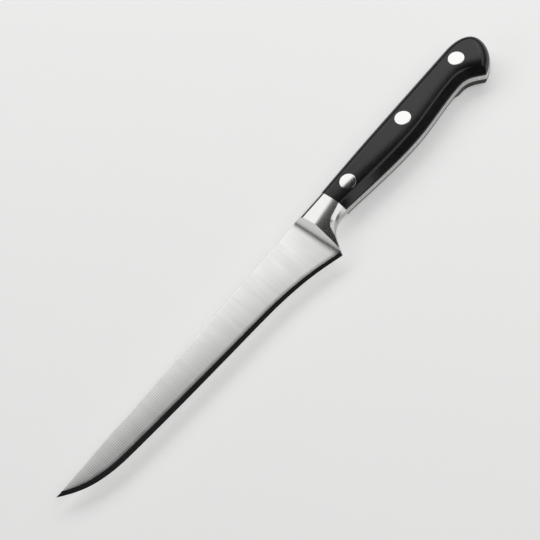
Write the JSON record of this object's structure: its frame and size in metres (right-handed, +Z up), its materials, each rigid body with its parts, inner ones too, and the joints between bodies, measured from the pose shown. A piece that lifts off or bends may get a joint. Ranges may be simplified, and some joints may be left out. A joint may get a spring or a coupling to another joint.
{
  "type": "boning knife",
  "caption": "Full-tang boning knife: narrow curved blade with forged bolster, black riveted handle scales and a hooked butt.",
  "frame": {"origin": "the knife lies on its side; origin at the middle of its box in plan, on the surface it lies on", "axes": "+X along the knife towards the butt, +Y towards the spine, +Z up through the handle's thickness"},
  "size_m": [0.2734, 0.0278, 0.013],
  "materials": {
    "blade_steel": "flanks ground across the blade to a satin, edge bevel and bolster polished",
    "rivet_steel": "fine satin, ground flush with the handle",
    "black_polymer": "dense black moulded polymer with a low sheen"
  },
  "bodies": {
    "root": {"blade_bolster_tang": "blade_steel", "upper_scale": "black_polymer", "lower_scale": "black_polymer", "front_rivet_tube": "rivet_steel", "front_rivet_pin": "rivet_steel", "middle_rivet_tube": "rivet_steel", "middle_rivet_pin": "rivet_steel", "rear_rivet_tube": "rivet_steel", "rear_rivet_pin": "rivet_steel"}
  },
  "joints": []
}
